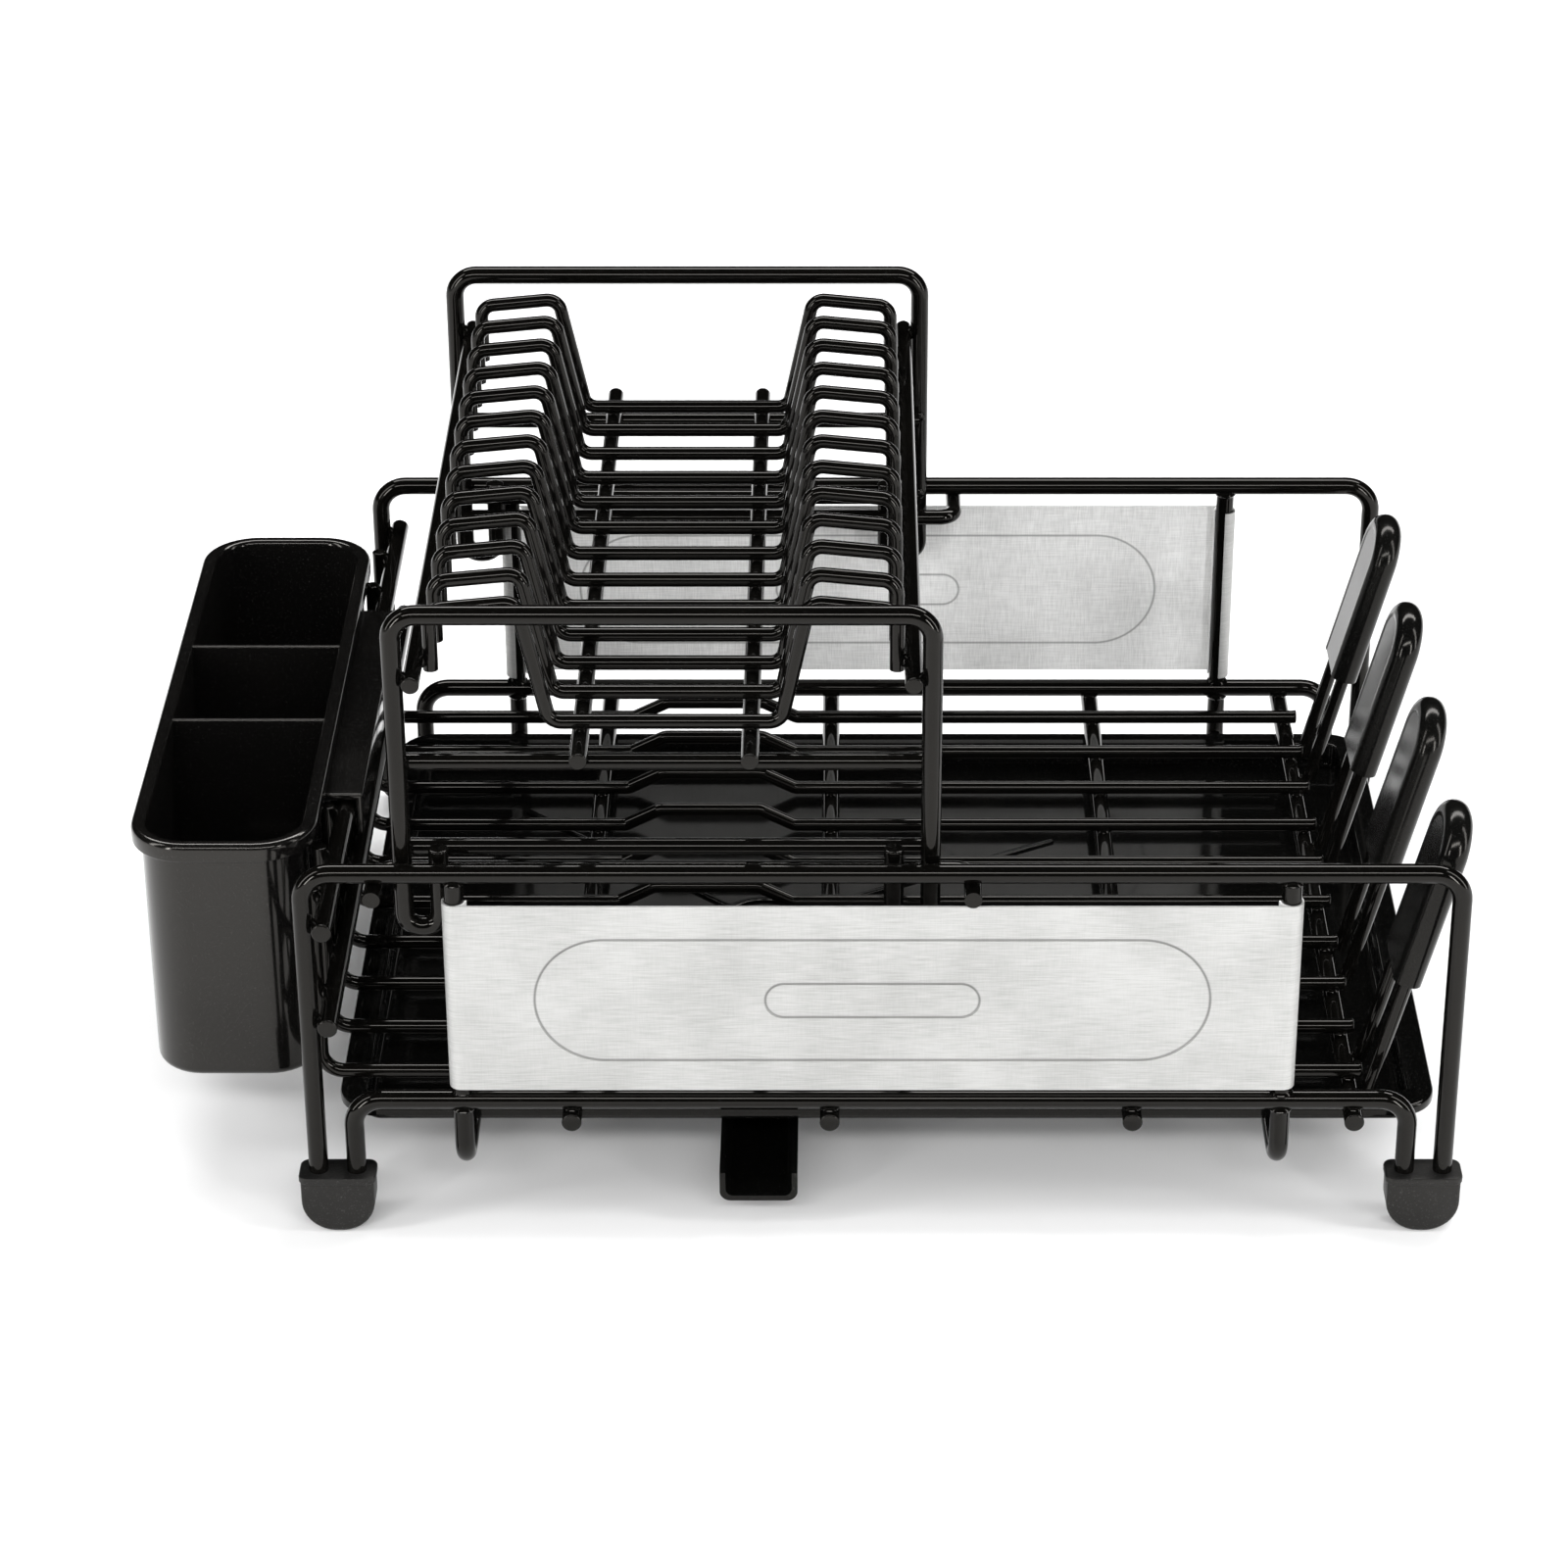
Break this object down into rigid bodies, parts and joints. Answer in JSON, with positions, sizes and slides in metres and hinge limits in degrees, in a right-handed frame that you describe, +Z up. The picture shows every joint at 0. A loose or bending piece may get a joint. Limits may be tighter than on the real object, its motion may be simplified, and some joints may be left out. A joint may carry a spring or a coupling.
{
  "type": "dish drying rack",
  "caption": "Wire dish drying rack with an upper plate rack, utensil caddy, cup hooks, brushed side panels, and a drip tray with a swivelling spout.",
  "frame": {"origin": "on the ground, under the middle of the whole object's box", "axes": "+X along the long side towards the cup hooks, +Y from front to rear, +Z up"},
  "size_m": [0.5434, 0.3742, 0.279],
  "materials": {
    "coated_wire": "gloss black coating on steel wire",
    "brushed_panel": "fine brushed",
    "foot_plastic": "satin black",
    "sleeve_plastic": "gloss black",
    "caddy_plastic": "gloss black",
    "tray_plastic": "satin black"
  },
  "bodies": {
    "basket": {"caddy_rail_high": "coated_wire", "caddy_rail_low": "coated_wire", "cup_hook_1": "coated_wire", "cup_hook_2": "coated_wire", "cup_hook_3": "coated_wire", "cup_hook_4": "coated_wire", "floor_runner_four": "coated_wire", "floor_runner_one": "coated_wire", "floor_runner_three": "coated_wire", "floor_runner_two": "coated_wire", "floor_wire_1": "coated_wire", "floor_wire_10": "coated_wire", "floor_wire_2": "coated_wire", "floor_wire_3": "coated_wire", "floor_wire_4": "coated_wire", "floor_wire_5": "coated_wire", "floor_wire_6": "coated_wire", "floor_wire_7": "coated_wire", "floor_wire_8": "coated_wire", "floor_wire_9": "coated_wire", "foot_front_left": "foot_plastic", "foot_front_right": "foot_plastic", "foot_rear_left": "foot_plastic", "foot_rear_right": "foot_plastic", "front_frame": "coated_wire", "front_panel": "brushed_panel", "front_posts": "coated_wire", "hook_sleeve_1": "sleeve_plastic", "hook_sleeve_2": "sleeve_plastic", "hook_sleeve_3": "sleeve_plastic", "hook_sleeve_4": "sleeve_plastic", "rear_frame": "coated_wire", "rear_panel": "brushed_panel", "rear_posts": "coated_wire", "tray_support_left": "coated_wire", "tray_support_right": "coated_wire"},
    "drain_spout": {"drain_spout": "tray_plastic"},
    "drip_tray": {"drip_tray": "tray_plastic"},
    "upper_rack": {"plate_wire_1": "coated_wire", "plate_wire_10": "coated_wire", "plate_wire_11": "coated_wire", "plate_wire_12": "coated_wire", "plate_wire_13": "coated_wire", "plate_wire_2": "coated_wire", "plate_wire_3": "coated_wire", "plate_wire_4": "coated_wire", "plate_wire_5": "coated_wire", "plate_wire_6": "coated_wire", "plate_wire_7": "coated_wire", "plate_wire_8": "coated_wire", "plate_wire_9": "coated_wire", "tier_bars_front": "coated_wire", "tier_bars_rear": "coated_wire", "tier_hoop_front": "coated_wire", "tier_hoop_rear": "coated_wire", "tier_lower_rail_left": "coated_wire", "tier_lower_rail_right": "coated_wire", "tier_outer_rail_left": "coated_wire", "tier_outer_rail_right": "coated_wire"},
    "utensil_caddy": {"utensil_caddy": "caddy_plastic"}
  },
  "joints": [
    {"name": "tray_slide", "type": "slide", "parent": "basket", "child": "drip_tray", "axis": [1, 0, 0], "range_m": [0, 0.19]},
    {"name": "spout_swivel", "type": "hinge", "parent": "drip_tray", "child": "drain_spout", "pos_m": [-0.0163, 0, 0.024], "axis": [0, 0, 1], "range_deg": [-90, 90]},
    {"name": "caddy_lift", "type": "slide", "parent": "basket", "child": "utensil_caddy", "axis": [0, 0, 1], "range_m": [0, 0.15]},
    {"name": "upper_rack_slide", "type": "slide", "parent": "basket", "child": "upper_rack", "axis": [1, 0, 0], "range_m": [-0.01, 0.022]}
  ]
}
